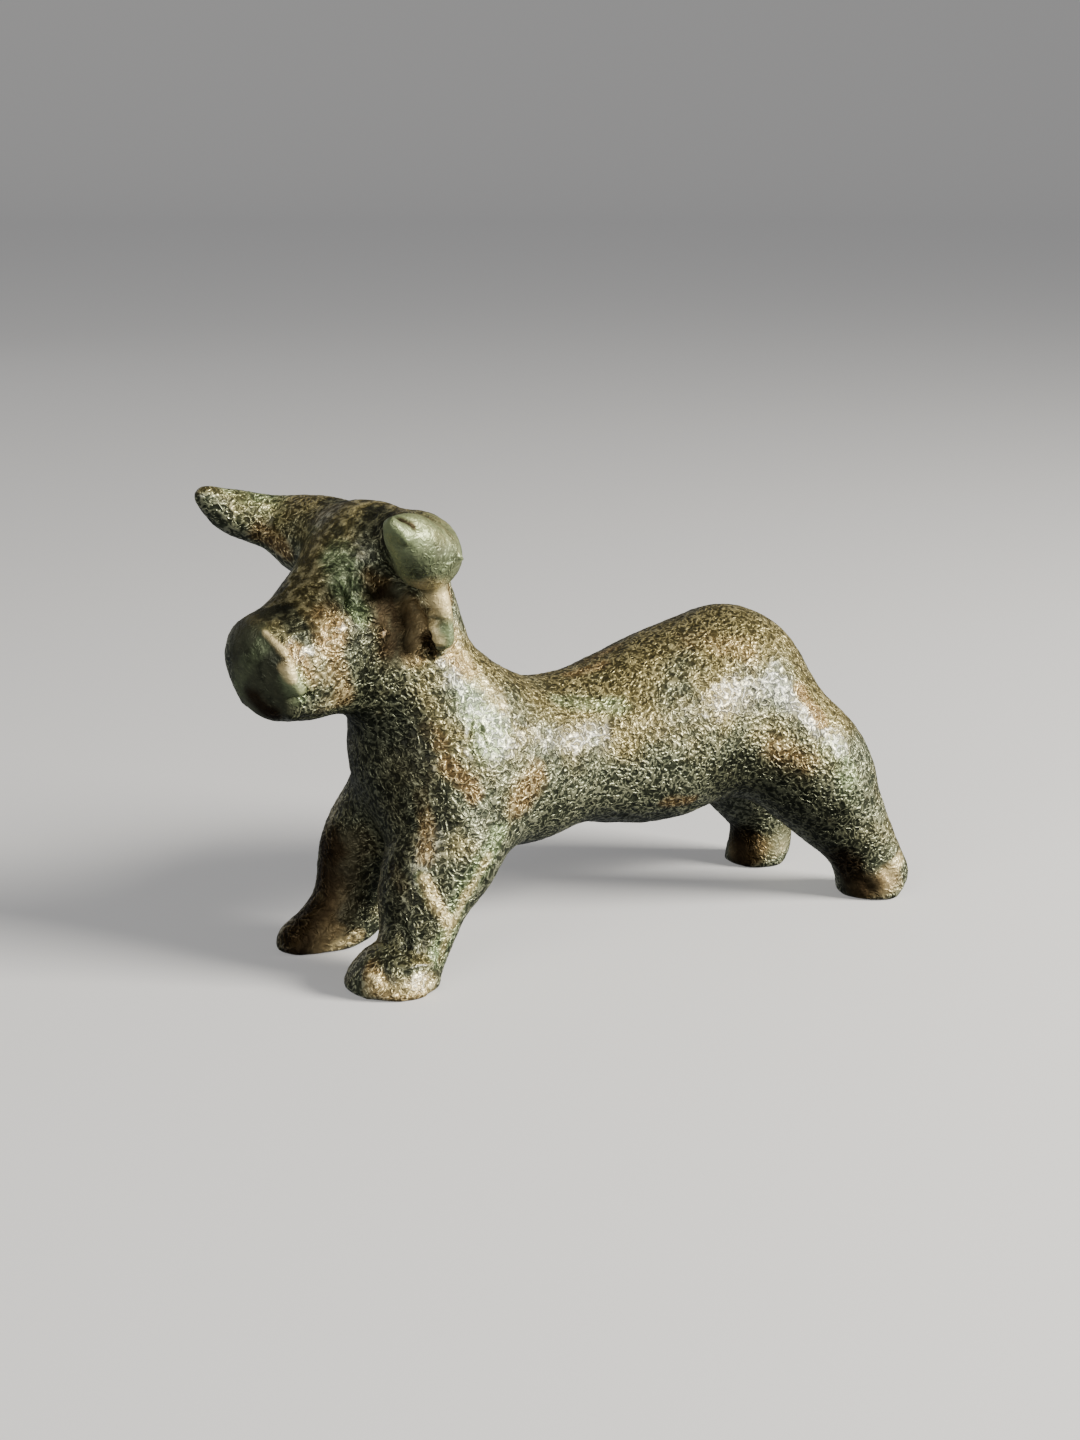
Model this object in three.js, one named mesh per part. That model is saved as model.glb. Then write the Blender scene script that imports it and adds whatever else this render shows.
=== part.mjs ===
// A small solid-cast bronze bull, modelled as one closed skin.
// The head points to +X and the animal's left side to +Y. The soles stand on z = 0. Millimetres.
// The origin lies under the middle of the figure's bounding box.
import * as THREE from "three";

// Driving size, in millimetres: from the muzzle to the heels of the hind feet.
const LENGTH = 63;

// Every other size is in modelling units of about a hundredth of the length.
// The finished skin is scaled to the length.

// Radii of the masses.
const RUMP = 12.4;
const BARREL = 10;
const CHEST = 10.3;
const NECK = 8.2;
const SKULL = 7.4;
const JAW = 5.2;
const MUZZLE = 6.3;
const HORN = 4.4;
const HORN_TIP = 1.3;
const EAR = 1.5;
const SHOULDER = 8.2;
const FORELEG = 4.6;
const FOREFOOT = 5.9;
const THIGH = 8.4;
const HIND_LEG = 4.9;
const HIND_FOOT = 5.3;

// How widely one mass melts into the next.
const SOFT = 5;
const FIRM = 2;

const HEAD_YAW = 10.7; // degrees, the head turns a little to its left
const HEAD_PIVOT = 31; // the head turns about the upright through this x
const MUZZLE_END = 52.5; // x of the muzzle's flat front, before the turn

// Size of the skin's facets: fine at the soles and the head, coarse between them.
const FINEST = 1.2;
const FINE = 1.6;
const COARSE = 2.1;
const FEET_RISE = 5; // z
const HEAD_RISES = 36; // z
const HEAD_STARTS = 26; // x

// A stroke is a tapering roll of wax along a smooth curve.
// Each station is [x, y, z, radius]. Breadth widens the roll sideways.
// A cut shaves the roll flat beyond a plane, with a rounded rim.
function stroke(stations, { breadth = 1, melt = SOFT, cut = null, steps = 3 } = {}) {
  const curve = new THREE.CatmullRomCurve3(
    stations.map(([x, y, z]) => new THREE.Vector3(x, y, z)),
  );
  const spans = stations.length - 1;
  const beads = [];
  for (let i = 0; i <= spans * steps; i++) {
    const whole = Math.min(Math.floor(i / steps), spans - 1);
    const radius = THREE.MathUtils.lerp(
      stations[whole][3],
      stations[whole + 1][3],
      i / steps - whole,
    );
    beads.push({ at: curve.getPoint(i / (spans * steps)), radius });
  }
  return { beads, breadth, melt, cut };
}

// A plane for cutting a stroke: what lies beyond it, on the side it faces, is shaved off.
function plane([x, y, z], [nx, ny, nz], round) {
  return {
    at: new THREE.Vector3(x, y, z),
    facing: new THREE.Vector3(nx, ny, nz).normalize(),
    round,
  };
}

// Joins two distances with a soft fillet.
function blend(a, b, width) {
  const h = Math.max(width - Math.abs(a - b), 0) / width;
  return Math.min(a, b) - (h * h * width) / 4;
}

// Distance from a point to a stroke's surface, negative inside.
function distanceTo({ beads, breadth, cut }, x, y, z) {
  let least = Infinity;
  for (let i = 0; i + 1 < beads.length; i++) {
    const a = beads[i];
    const b = beads[i + 1];
    const ux = b.at.x - a.at.x;
    const uy = b.at.y - a.at.y;
    const uz = b.at.z - a.at.z;
    const px = x - a.at.x;
    const py = y - a.at.y;
    const pz = z - a.at.z;
    const long = ux * ux + uy * uy + uz * uz;
    const t = Math.min(1, Math.max(0, (px * ux + py * uy + pz * uz) / long));
    const dx = px - ux * t;
    const dy = (py - uy * t) / breadth;
    const dz = pz - uz * t;
    const reach = Math.sqrt(dx * dx + dy * dy + dz * dz);
    least = Math.min(least, reach - (a.radius + (b.radius - a.radius) * t));
  }
  if (!cut) return least;
  const { at, facing, round } = cut;
  const beyond = (x - at.x) * facing.x + (y - at.y) * facing.y + (z - at.z) * facing.z;
  return -blend(-least, -beyond, round);
}

// Turns a direction of the head.
function turned([x, y, z]) {
  const turn = THREE.MathUtils.degToRad(HEAD_YAW);
  return [x * Math.cos(turn) - y * Math.sin(turn), x * Math.sin(turn) + y * Math.cos(turn), z];
}

// Turns a station of the head about the pivot.
function onHead([x, y, z, radius]) {
  const [tx, ty] = turned([x - HEAD_PIVOT, y, z]);
  return [HEAD_PIVOT + tx, ty, z, radius];
}

function torso() {
  return stroke([
    [23.5, 0, 26.5, CHEST],
    [14.5, 0, 23.5, BARREL * 1.1],
    [3, 0, 24, BARREL],
    [-10.5, 0, 25, RUMP],
    [-21, 0, 28.5, RUMP * 0.95],
  ]);
}

function neck() {
  return stroke([
    [22, 0, 26.5, CHEST * 1.05],
    [26.5, 0, 36, NECK],
    [29.5, 0, 46, NECK * 0.9],
  ]);
}

// The skull, the jaw and a blunt muzzle, cut nearly square across the front.
function head() {
  const skull = [
    [34, 0, 51, SKULL],
    [38.5, 0, 46.5, SKULL * 0.85],
  ];
  const jaw = [
    [42.5, 0, 38.5, JAW * 0.9],
    [32, 0, 38, JAW * 1.05],
  ];
  const muzzle = [
    [40, 0, 42.5, MUZZLE * 0.95],
    [48.5, 0, 40.5, MUZZLE * 1.05],
  ];
  const front = plane(onHead([MUZZLE_END, 0, 40]), turned([0.97, 0, -0.24]), 3);
  return [
    stroke(skull.map(onHead)),
    stroke(jaw.map(onHead)),
    stroke(muzzle.map(onHead), { cut: front }),
  ];
}

// The horns leave the crown sideways as one bar, then turn forwards and up to blunt points.
function horns() {
  const near = [
    [33, 0, 53, HORN * 1.05],
    [33, 9, 54, HORN],
    [36, 14, 54, HORN * 0.9],
    [41, 16.5, 57, HORN * 0.6],
    [44, 17.5, 58.5, HORN_TIP],
  ];
  const far = [
    [33, 0, 53, HORN * 1.05],
    [33.5, -9, 53, HORN * 1.2],
    [36, -14, 54.5, HORN * 0.8],
    [41.5, -16.5, 56.5, HORN * 0.6],
    [45, -17, 58.5, HORN_TIP],
  ];
  return [near, far].map((horn) => stroke(horn.map(onHead), { melt: FIRM }));
}

// Short flaps hanging under the roots of the horns.
function ears() {
  return [1, -1].map((side) => {
    const ear = [
      [31, side * 8, 50, EAR * 1.15],
      [30.5, side * 9.5, 46, EAR],
      [30, side * 9.5, 42.5, EAR * 0.9],
    ];
    return stroke(ear.map(onHead), { breadth: 1.8, melt: FIRM });
  });
}

// The left foreleg stands upright on a flared foot. The right one steps out on its toe.
function forelegs() {
  const left = [
    [24, 3.5, 22, SHOULDER],
    [26, 6.5, 16, SHOULDER * 0.9],
    [29.5, 7.5, 11, FORELEG * 1.3],
    [32, 9, 5.5, FORELEG],
    [34, 9.5, 2, FOREFOOT * 0.8],
    [36, 10, 0, FOREFOOT],
  ];
  const right = [
    [25.5, -4.5, 21, SHOULDER * 0.8],
    [29.5, -8.5, 13, FORELEG * 1.2],
    [32, -9, 5.5, FORELEG * 0.85],
  ];
  const rightFoot = [
    [31.5, -9, 3.5, FOREFOOT * 0.8],
    [38, -9.5, 0.5, FOREFOOT * 0.6],
  ];
  const raisedHeel = plane([32.8, -9.8, -0.2], [-0.4, 0, -0.92], 1);
  return [
    stroke(left),
    stroke(right, { melt: FIRM }),
    stroke(rightFoot, { melt: FIRM, cut: raisedHeel }),
  ];
}

// The hind legs slant back to feet with bevelled heels.
function hindLegs() {
  const left = [
    [-23.5, 5, 24, THIGH * 0.9],
    [-29, 8, 19.5, THIGH],
    [-33.5, 9.5, 13, HIND_LEG * 1.3],
    [-37.5, 10.5, 7, HIND_LEG],
    [-40.5, 10.5, 0, HIND_FOOT],
  ];
  const right = [
    [-26, -5, 25, THIGH * 0.95],
    [-31.5, -9, 15.5, THIGH * 0.85],
    [-36, -10, 6.5, HIND_LEG * 0.9],
    [-36, -10.5, 0, HIND_FOOT * 0.9],
  ];
  const leftHeel = plane([-42.3, 10, 1.8], [-0.62, 0, -0.78], 1);
  const rightHeel = plane([-39.3, -10, 1.8], [-0.62, 0, -0.78], 1);
  return [stroke(left, { cut: leftHeel }), stroke(right, { cut: rightHeel })];
}

const masses = [
  torso(),
  neck(),
  ...head(),
  ...horns(),
  ...ears(),
  ...forelegs(),
  ...hindLegs(),
];

// Distance to all the masses melted together.
function melted(x, y, z) {
  return masses.reduce((distance, mass) => {
    const next = distanceTo(mass, x, y, z);
    return distance === Infinity ? next : blend(distance, next, mass.melt);
  }, Infinity);
}

// The whole figure's distance. Nothing lies below the ground.
const figure = (x, y, z) => Math.max(melted(x, y, z), -z);

// Moves a point onto the masses' surface, by no more than part of a facet.
// A point on the ground stays on it.
function settled([x, y, z]) {
  const probe = FINE / 100;
  const slope = [
    melted(x + probe, y, z) - melted(x - probe, y, z),
    melted(x, y + probe, z) - melted(x, y - probe, z),
    z === 0 ? 0 : melted(x, y, z + probe) - melted(x, y, z - probe),
  ];
  const steepness = Math.hypot(...slope);
  const off = (melted(x, y, z) * 2 * probe) / steepness;
  const move = THREE.MathUtils.clamp(off, -FINE / 3, FINE / 3);
  return [x, y, z].map((at, n) => at - (move * slope[n]) / steepness);
}

// Grid lines from one end to the other, with a step that may change on the way.
function lines(from, to, stepAt) {
  const found = [from];
  while (found.at(-1) < to) found.push(found.at(-1) + stepAt(found.at(-1)));
  return found;
}

// A cell's corners are numbered by the bits x, y and z, and a pattern has a bit for each corner inside.
const CORNERS = [0, 1, 2, 3, 4, 5, 6, 7];
const AXIS_BITS = [1, 2, 4];

// True where two sheets of the surface would meet in one cell with this pattern.
function pinched(pattern) {
  const side = (corner) => (pattern >> corner) & 1;
  const crossed = CORNERS.some((corner) =>
    AXIS_BITS.some((a) =>
      AXIS_BITS.some(
        (b) =>
          a < b &&
          side(corner) === side(corner ^ a ^ b) &&
          side(corner) !== side(corner ^ a) &&
          side(corner) !== side(corner ^ b),
      ),
    ),
  );
  const apart = [0, 1].some((kind) => {
    const members = CORNERS.filter((corner) => side(corner) === kind);
    const reached = new Set(members.slice(0, 1));
    for (const corner of reached)
      for (const bit of AXIS_BITS) if (side(corner ^ bit) === kind) reached.add(corner ^ bit);
    return reached.size < members.length;
  });
  return crossed || apart;
}

// Fills the pinches between two masses, so that the net stays a clean skin.
function fillPinches(field, node, [nx, ny, nz]) {
  const barelyInside = -FINE / 1000;
  const isPinched = Array.from({ length: 2 ** CORNERS.length }, (_, pattern) => pinched(pattern));
  let changed = true;
  while (changed) {
    changed = false;
    for (let i = 0; i + 1 < nx; i++)
      for (let j = 0; j + 1 < ny; j++)
        for (let k = 0; k + 1 < nz; k++) {
          const nodes = CORNERS.map((c) => node(i + (c & 1), j + ((c >> 1) & 1), k + (c >> 2)));
          const pattern = nodes.reduce((bits, n, c) => bits | ((field[n] < 0 ? 1 : 0) << c), 0);
          if (!isPinched[pattern]) continue;
          const outside = nodes.filter((n) => field[n] >= 0);
          outside.sort((a, b) => field[a] - field[b]);
          field[outside[0]] = barelyInside;
          changed = true;
        }
  }
}

// Lays a net of quads over the surface where the distance is zero.
// The net's lowest layer lies exactly on the ground.
function skin(distance, xs, ys, zs) {
  const axes = [xs, ys, zs];
  const [nx, ny, nz] = axes.map((axis) => axis.length);
  const node = (i, j, k) => (i * ny + j) * nz + k;
  const field = new Float64Array(nx * ny * nz);
  for (let i = 0; i < nx; i++)
    for (let j = 0; j < ny; j++)
      for (let k = 0; k < nz; k++) field[node(i, j, k)] = distance(xs[i], ys[j], zs[k]);
  fillPinches(field, node, [nx, ny, nz]);

  // One vertex in each cell that the surface crosses, at the mean of the crossings.
  const vertexOf = new Int32Array(field.length).fill(-1);
  const positions = [];
  for (let i = 0; i + 1 < nx; i++)
    for (let j = 0; j + 1 < ny; j++)
      for (let k = 0; k + 1 < nz; k++) {
        const sum = [0, 0, 0];
        let crossings = 0;
        let sideways = 0;
        for (let axis = 0; axis < 3; axis++)
          for (let corner = 0; corner < 4; corner++) {
            const from = [i, j, k];
            from[(axis + 1) % 3] += corner & 1;
            from[(axis + 2) % 3] += corner >> 1;
            const to = [...from];
            to[axis] += 1;
            const a = field[node(...from)];
            const b = field[node(...to)];
            if (a < 0 === b < 0) continue;
            const t = a / (a - b);
            for (let n = 0; n < 3; n++)
              sum[n] += THREE.MathUtils.lerp(axes[n][from[n]], axes[n][to[n]], t);
            crossings++;
            if (axis < 2) sideways++;
          }
        if (!crossings) continue;
        vertexOf[node(i, j, k)] = positions.length / 3;
        const mean = sum.map((total) => total / crossings);
        if (k === 0) mean[2] = 0;
        positions.push(...(k > 0 || sideways ? settled(mean) : mean));
      }

  // One quad across each grid edge that the surface crosses.
  const index = [];
  for (let i = 0; i + 1 < nx; i++)
    for (let j = 0; j + 1 < ny; j++)
      for (let k = 0; k + 1 < nz; k++)
        for (let axis = 0; axis < 3; axis++) {
          const to = [i, j, k];
          to[axis] += 1;
          const inside = field[node(i, j, k)] < 0;
          if (inside === field[node(...to)] < 0) continue;
          const vertex = (du, dv) => {
            const cell = [i, j, k];
            cell[(axis + 1) % 3] -= du;
            cell[(axis + 2) % 3] -= dv;
            return vertexOf[node(...cell)];
          };
          const [a, b, c, d] = [vertex(1, 1), vertex(0, 1), vertex(0, 0), vertex(1, 0)];
          if (inside) index.push(a, b, c, a, c, d);
          else index.push(a, c, b, a, d, c);
        }

  const geometry = new THREE.BufferGeometry();
  geometry.setAttribute("position", new THREE.Float32BufferAttribute(positions, 3));
  geometry.setIndex(index);
  return geometry;
}

// The box that holds every bead, with a facet to spare.
function reach() {
  const box = new THREE.Box3();
  for (const { beads, breadth } of masses)
    for (const { at, radius } of beads) {
      const arm = radius * breadth + FINE;
      box.expandByPoint(at.clone().addScalar(arm)).expandByPoint(at.clone().addScalar(-arm));
    }
  return box;
}

// The skin in millimetres, with the origin under the middle of its bounding box.
function castFigure() {
  const { min: low, max: high } = reach();
  const xs = lines(low.x, high.x, (x) => (x < HEAD_STARTS ? COARSE : FINE));
  const ys = lines(low.y, high.y, () => FINE);
  const zs = lines(-FINEST / 2, high.z, (z) => {
    if (z < FEET_RISE) return FINEST;
    return z < HEAD_RISES ? COARSE : FINE;
  });
  const geometry = skin(figure, xs, ys, zs);
  geometry.computeBoundingBox();
  const { min, max } = geometry.boundingBox;
  geometry.translate(-(min.x + max.x) / 2, -(min.y + max.y) / 2, 0);
  const scale = LENGTH / (max.x - min.x);
  geometry.scale(scale, scale, scale);
  geometry.computeVertexNormals();
  return geometry;
}

const bronze = new THREE.MeshStandardMaterial({ color: 0x5d5a45, roughness: 0.5, metalness: 0.7 });
const bull = new THREE.Mesh(castFigure(), bronze);
bull.name = "bull_figurine";

const model = new THREE.Group();
model.add(bull);
export default model;
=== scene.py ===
# A small solid-cast bronze bull with a worn, mottled patina.
# The head points to +X and the animal's left side, which the photograph shows, to +Y.
# The wax is shaped in millimetres, and the finished casting is in metres, as the frame is.
import math

import bmesh
import bpy
import numpy as np
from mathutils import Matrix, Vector
from mathutils.bvhtree import BVHTree


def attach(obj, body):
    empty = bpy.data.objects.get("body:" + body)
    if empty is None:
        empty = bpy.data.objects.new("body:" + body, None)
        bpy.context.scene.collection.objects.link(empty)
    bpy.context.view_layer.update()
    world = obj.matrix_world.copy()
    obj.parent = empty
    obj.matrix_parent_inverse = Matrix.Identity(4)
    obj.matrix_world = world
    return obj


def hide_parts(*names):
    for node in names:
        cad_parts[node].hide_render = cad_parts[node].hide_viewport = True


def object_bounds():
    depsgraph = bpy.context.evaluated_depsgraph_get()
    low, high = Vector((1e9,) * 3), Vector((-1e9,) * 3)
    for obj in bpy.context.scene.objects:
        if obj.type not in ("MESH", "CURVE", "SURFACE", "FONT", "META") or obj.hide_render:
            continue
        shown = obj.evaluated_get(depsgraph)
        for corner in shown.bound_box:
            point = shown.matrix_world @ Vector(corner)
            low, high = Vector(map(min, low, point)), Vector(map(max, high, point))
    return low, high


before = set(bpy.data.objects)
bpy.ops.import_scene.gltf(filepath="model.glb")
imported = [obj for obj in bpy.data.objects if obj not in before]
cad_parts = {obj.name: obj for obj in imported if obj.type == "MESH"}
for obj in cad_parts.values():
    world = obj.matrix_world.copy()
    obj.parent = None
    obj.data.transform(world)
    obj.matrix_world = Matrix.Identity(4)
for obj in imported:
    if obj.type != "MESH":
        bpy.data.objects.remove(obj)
cad_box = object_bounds()

MM = 0.001

# The photograph: its size in pixels, the lens, and where the camera stood, in millimetres.
PHOTO_WIDTH, PHOTO_HEIGHT = 1080, 1440
LENS, SENSOR = 65, 36
CAMERA_PLACE = Vector((117.67, 176.94, 67.24))
CAMERA_TURN = math.radians(147.1)
CAMERA_DIP = math.radians(13)

# The camera's level directions, and up.
RIGHTWARDS = Vector((math.cos(CAMERA_TURN), math.sin(CAMERA_TURN), 0))
AHEAD = Vector((-math.sin(CAMERA_TURN), math.cos(CAMERA_TURN), 0))
UPWARDS = Vector((0, 0, 1))

# The wax strokes are in modelling units. UNIT is one of them in millimetres, and MIDDLE is the
# place of the frame's origin among them.
FIGURE_UNITS = 97.07
UNIT = (cad_box[1].x - cad_box[0].x) / MM / FIGURE_UNITS
MIDDLE = np.array([4.3, 1.94, 0])

# Radii of the masses, in modelling units.
RUMP, BARREL, CHEST, NECK = 12.4, 10, 10.3, 8.2
SKULL, JAW, MUZZLE, HORN, HORN_TIP, EAR = 7.4, 5.2, 6.3, 4.4, 1.3, 1.5
SHOULDER, FORELEG, FOREFOOT = 8.2, 4.6, 5.9
THIGH, HIND_LEG, HIND_FOOT = 8.4, 4.9, 5.3

# How widely one mass melts into the next, and how far from a mass it no longer counts.
SOFT, FIRM = 5, 2
FAR = SOFT + 2

# How far the head turns to its left, about a pivot so far forward, and where the muzzle ends.
HEAD_YAW = math.radians(10.7)
HEAD_PIVOT = 31
MUZZLE_END = 52.5

# Size of the skin's mesh, in millimetres.
ROUGH_VOXEL = 0.4
FINE_VOXEL = 0.257

# How far apart the crests of the corroded crust lie, in millimetres.
COARSE_CRUST = 1.15
FINE_CRUST = 0.68


def smooth_curve(stations, steps):
    """Beads along a smooth curve through stations of x, y, z and radius, so many to each span."""
    reach = [2 * stations[0] - stations[1], *stations, 2 * stations[-1] - stations[-2]]
    found = []
    for a, b, c, d in zip(reach, reach[1:], reach[2:], reach[3:]):
        ab, bc, cd = (math.sqrt(np.linalg.norm(q[:3] - p[:3])) for p, q in ((a, b), (b, c), (c, d)))
        leaving = bc * ((b - a) / ab - (c - a) / (ab + bc) + (c - b) / bc)
        arriving = bc * ((c - b) / bc - (d - b) / (bc + cd) + (d - c) / cd)
        for step in range(steps):
            t = step / steps
            square = 3 * (c - b) - 2 * leaving - arriving
            cube = 2 * (b - c) + leaving + arriving
            found.append(b + leaving * t + square * t**2 + cube * t**3)
    return np.array([*found, stations[-1]])


class Stroke:
    """A tapering roll of wax along a smooth curve through stations of x, y, z and radius."""

    def __init__(self, stations, breadth=1.0, melt=SOFT, cut=None, steps=8):
        beads = smooth_curve(list(np.array(stations, float)), steps)
        self.path = beads[:, :3]
        self.radii = beads[:, 3]
        self.breadth = breadth
        self.melt = melt
        self.cut = cut

    def distance(self, places):
        """Distance from the places to the roll's surface, negative inside, and none where it is far."""
        arm = (self.radii.max() * self.breadth) + FAR
        low, high = self.path.min(axis=0) - arm, self.path.max(axis=0) + arm
        near = ((places > low) & (places < high)).all(axis=1)
        found = np.full(len(places), np.inf)
        found[near] = self.distance_near(places[near])
        return found

    def distance_near(self, places):
        """The same distance, worked out for every place."""
        least = np.full(len(places), np.inf)
        for a, b, ra, rb in zip(self.path, self.path[1:], self.radii, self.radii[1:]):
            run = b - a
            offset = places - a
            t = np.clip(offset @ run / (run @ run), 0, 1)
            offset -= t[:, None] * run
            offset[:, 1] /= self.breadth
            least = np.minimum(least, np.linalg.norm(offset, axis=1) - (ra + (rb - ra) * t))
        if self.cut is None:
            return least
        at, facing, rounding = self.cut
        return -blend(-least, -((places - at) @ facing), rounding)


def blend(a, b, width):
    """Joins two distances with a soft fillet."""
    higher, lower = np.maximum(a, b), np.minimum(a, b)
    apart = np.where(np.isfinite(higher), higher - lower, width)
    return lower - np.maximum(width - apart, 0) ** 2 / width / 4


def turned(x, y, z):
    """Turns a direction of the head."""
    cos, sin = math.cos(HEAD_YAW), math.sin(HEAD_YAW)
    return np.array([x * cos - y * sin, x * sin + y * cos, z])


def on_head(stations):
    """Turns stations of the head about the pivot."""
    found = []
    for x, y, z, radius in stations:
        tx, ty, tz = turned(x - HEAD_PIVOT, y, z)
        found.append((tx + HEAD_PIVOT, ty, tz, radius))
    return found


def plane(at, facing, rounding):
    """A flat cut, with a rounded rim."""
    facing = np.array(facing, float)
    return np.array(at, float), facing / np.linalg.norm(facing), rounding


def torso():
    return Stroke([
        (23.5, 0, 26.5, CHEST),
        (14.5, 0, 23.5, BARREL * 1.1),
        (3, 0, 24, BARREL),
        (-10.5, 0, 25, RUMP),
        (-21, 0, 28.5, RUMP * 0.95),
    ])


def neck():
    return Stroke([
        (22, 0, 26.5, CHEST * 1.05),
        (26.5, 0, 36, NECK),
        (29.5, 0, 46, NECK * 0.9),
    ])


def head():
    """The skull, the jaw and a blunt muzzle, cut nearly square across the front."""
    skull = [(34, 0, 51, SKULL), (38.5, 0, 46.5, SKULL * 0.85)]
    jaw = [(42.5, 0, 38.5, JAW * 0.9), (32, 0, 38, JAW * 1.05)]
    muzzle = [(40, 0, 42.5, MUZZLE * 0.95), (48.5, 0, 40.5, MUZZLE * 1.05)]
    front_at = on_head([(MUZZLE_END, 0, 40, 0)])[0][:3]
    front = plane(front_at, turned(0.97, 0, -0.24), rounding=3)
    return [
        Stroke(on_head(skull)),
        Stroke(on_head(jaw)),
        Stroke(on_head(muzzle), cut=front),
    ]


def horns():
    """The horns leave the crown sideways as one bar, then turn forwards and up to blunt points."""
    near = [
        (33, 0, 53, HORN * 1.05),
        (33, 9, 54, HORN),
        (36, 14, 54, HORN * 0.9),
        (41, 16.5, 57, HORN * 0.6),
        (44, 17.5, 58.5, HORN_TIP),
    ]
    far = [
        (33, 0, 53, HORN * 1.05),
        (33.5, -9, 53, HORN * 1.2),
        (36, -14, 54.5, HORN * 0.8),
        (41.5, -16.5, 56.5, HORN * 0.6),
        (45, -17, 58.5, HORN_TIP),
    ]
    return [Stroke(on_head(horn), melt=FIRM) for horn in (near, far)]


def ears():
    """Short flaps hanging under the roots of the horns."""
    found = []
    for side in (1, -1):
        flap = [
            (31, side * 8, 50, EAR * 1.15),
            (30.5, side * 9.5, 46, EAR),
            (30, side * 9.5, 42.5, EAR * 0.9),
        ]
        found.append(Stroke(on_head(flap), breadth=1.8, melt=FIRM))
    return found


def forelegs():
    """The left foreleg stands upright on a flared foot. The right one steps out on its toe."""
    left = [
        (24, 3.5, 22, SHOULDER),
        (26, 6.5, 16, SHOULDER * 0.9),
        (29.5, 7.5, 11, FORELEG * 1.3),
        (32, 9, 5.5, FORELEG),
        (34, 9.5, 2, FOREFOOT * 0.8),
        (36, 10, 0, FOREFOOT),
    ]
    right = [
        (25.5, -4.5, 21, SHOULDER * 0.8),
        (29.5, -8.5, 13, FORELEG * 1.2),
        (32, -9, 5.5, FORELEG * 0.85),
    ]
    right_foot = [(31.5, -9, 3.5, FOREFOOT * 0.8), (38, -9.5, 0.5, FOREFOOT * 0.6)]
    raised_heel = plane((32.8, -9.8, -0.2), (-0.4, 0, -0.92), rounding=1)
    return [
        Stroke(left),
        Stroke(right, melt=FIRM),
        Stroke(right_foot, melt=FIRM, cut=raised_heel),
    ]


def hind_legs():
    """The hind legs slant back to feet with bevelled heels."""
    left = [
        (-23.5, 5, 24, THIGH * 0.9),
        (-29, 8, 19.5, THIGH),
        (-33.5, 9.5, 13, HIND_LEG * 1.3),
        (-37.5, 10.5, 7, HIND_LEG),
        (-40.5, 10.5, 0, HIND_FOOT),
    ]
    right = [
        (-26, -5, 25, THIGH * 0.95),
        (-31.5, -9, 15.5, THIGH * 0.85),
        (-36, -10, 6.5, HIND_LEG * 0.9),
        (-36, -10.5, 0, HIND_FOOT * 0.9),
    ]
    left_heel = plane((-42.3, 10, 1.8), (-0.62, 0, -0.78), rounding=1)
    right_heel = plane((-39.3, -10, 1.8), (-0.62, 0, -0.78), rounding=1)
    return [Stroke(left, cut=left_heel), Stroke(right, cut=right_heel)]


MASSES = [torso(), neck(), *head(), *horns(), *ears(), *forelegs(), *hind_legs()]


def figure(places):
    """Distance to all the masses melted together, in modelling units. Nothing lies below the ground."""
    melted = MASSES[0].distance_near(places)
    for mass in MASSES[1:]:
        melted = blend(melted, mass.distance(places), mass.melt)
    return np.maximum(melted, -places[:, 2])


def settle(mesh, rounds):
    """Moves the vertices of a mesh in millimetres onto the figure's surface."""
    places = vertex_places(mesh) / UNIT + MIDDLE
    probe = 0.01
    least_steepness = 0.2
    longest_step = 1
    for _ in range(rounds):
        here = figure(places)
        slope = np.stack([(figure(places + probe * axis) - here) / probe for axis in np.eye(3)], axis=1)
        steepness = np.maximum((slope**2).sum(axis=1), least_steepness)
        step = np.clip(here / steepness, -longest_step, longest_step)
        places -= step[:, None] * slope
    places[:, 2] = np.maximum(places[:, 2], 0)
    set_vertex_places(mesh, (places - MIDDLE) * UNIT)


def vertex_places(mesh):
    found = np.empty(len(mesh.vertices) * 3)
    mesh.vertices.foreach_get("co", found)
    return found.reshape(-1, 3)


def set_vertex_places(mesh, places):
    mesh.vertices.foreach_set("co", places.ravel())
    mesh.update()


def vertex_normals(mesh):
    found = np.empty(len(mesh.vertices) * 3)
    mesh.vertex_normals.foreach_get("vector", found)
    return found.reshape(-1, 3)


def applied(piece, modifier_type, **settings):
    """Gives a piece a modifier's result as its own mesh."""
    modifier = piece.modifiers.new(modifier_type.title(), modifier_type)
    for name, value in settings.items():
        setattr(modifier, name, value)
    view = bpy.context.evaluated_depsgraph_get()
    made = bpy.data.meshes.new_from_object(piece.evaluated_get(view))
    piece.modifiers.clear()
    piece.data = made


def wax_figure():
    """A merged copy of the frame's solid, remeshed finely and settled on the strokes."""
    same_place = 0.001
    wax = bmesh.new()
    wax.from_mesh(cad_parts["bull_figurine"].data)
    bmesh.ops.scale(wax, vec=Vector((1, 1, 1)) / MM, verts=wax.verts)
    bmesh.ops.remove_doubles(wax, verts=wax.verts, dist=same_place)
    mesh = bpy.data.meshes.new("bull")
    wax.to_mesh(mesh)
    wax.free()
    bull = bpy.data.objects.new("bull", mesh)
    bpy.context.scene.collection.objects.link(bull)
    applied(bull, "REMESH", mode="VOXEL", voxel_size=ROUGH_VOXEL)
    settle(bull.data, rounds=3)
    applied(bull, "REMESH", mode="VOXEL", voxel_size=FINE_VOXEL)
    settle(bull.data, rounds=2)
    applied(bull, "SMOOTH", factor=0.5, iterations=8)
    return bull


# The head lies farther forward and higher than this, in millimetres.
HEAD_FROM = (14, 23)


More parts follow.
